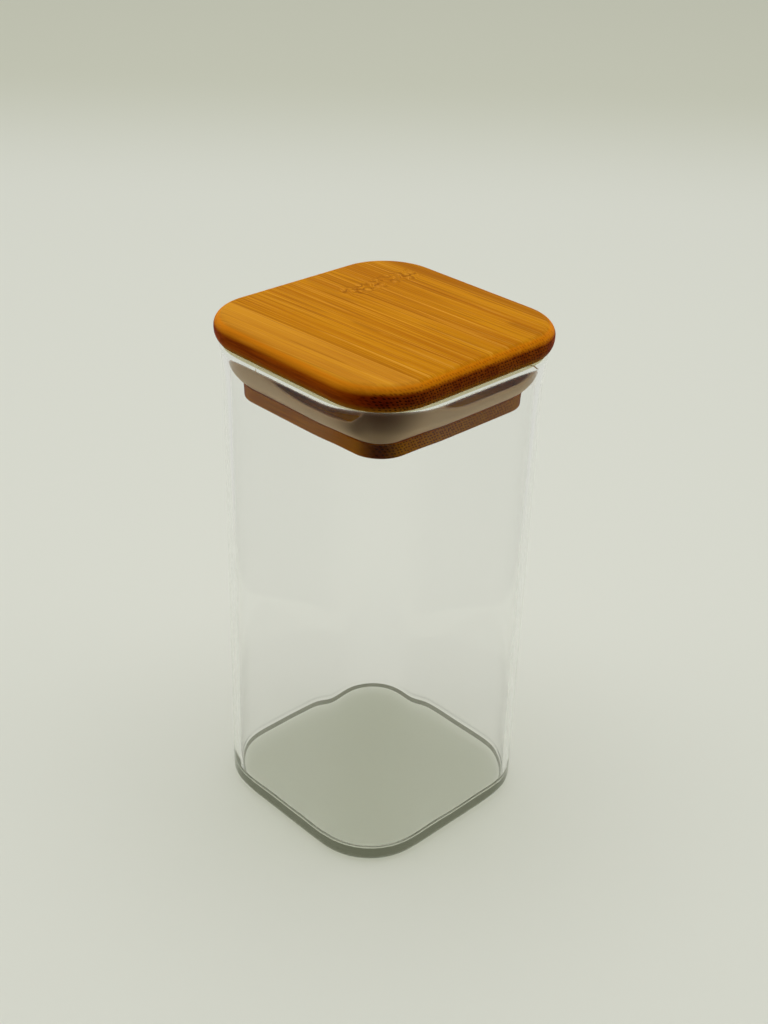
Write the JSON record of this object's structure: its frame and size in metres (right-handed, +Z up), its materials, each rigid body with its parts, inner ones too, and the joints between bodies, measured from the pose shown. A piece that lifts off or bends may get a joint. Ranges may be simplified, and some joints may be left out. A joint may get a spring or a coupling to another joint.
{
  "type": "spice jar",
  "caption": "Square glass storage jar with rounded corners and a flared mouth, closed by a lift-off bamboo lid whose plug carries a lipped silicone seal.",
  "frame": {"origin": "centre of the base, on the surface that the jar stands on", "axes": "+Z up along the jar's centre line, +X along the grain of the lid's bamboo, flat sides facing X and Y"},
  "size_m": [0.07, 0.07, 0.1435],
  "materials": {
    "glass": "clear blown borosilicate glass, fire-polished rim",
    "silicone": "translucent whitish silicone, satin",
    "bamboo": "carbonised bamboo, oiled, satin"
  },
  "bodies": {
    "jar": {"glass_jar": "glass"},
    "lid": {"cap_strip_1": "bamboo", "cap_strip_2": "bamboo", "cap_strip_3": "bamboo", "cap_strip_4": "bamboo", "plug_strip_1": "bamboo", "plug_strip_2": "bamboo", "plug_strip_3": "bamboo", "seal_ring": "silicone"}
  },
  "joints": [
    {"name": "lid_lift", "type": "slide", "parent": "jar", "child": "lid", "axis": [0, 0, 1], "range_m": [0, 0.06]}
  ]
}
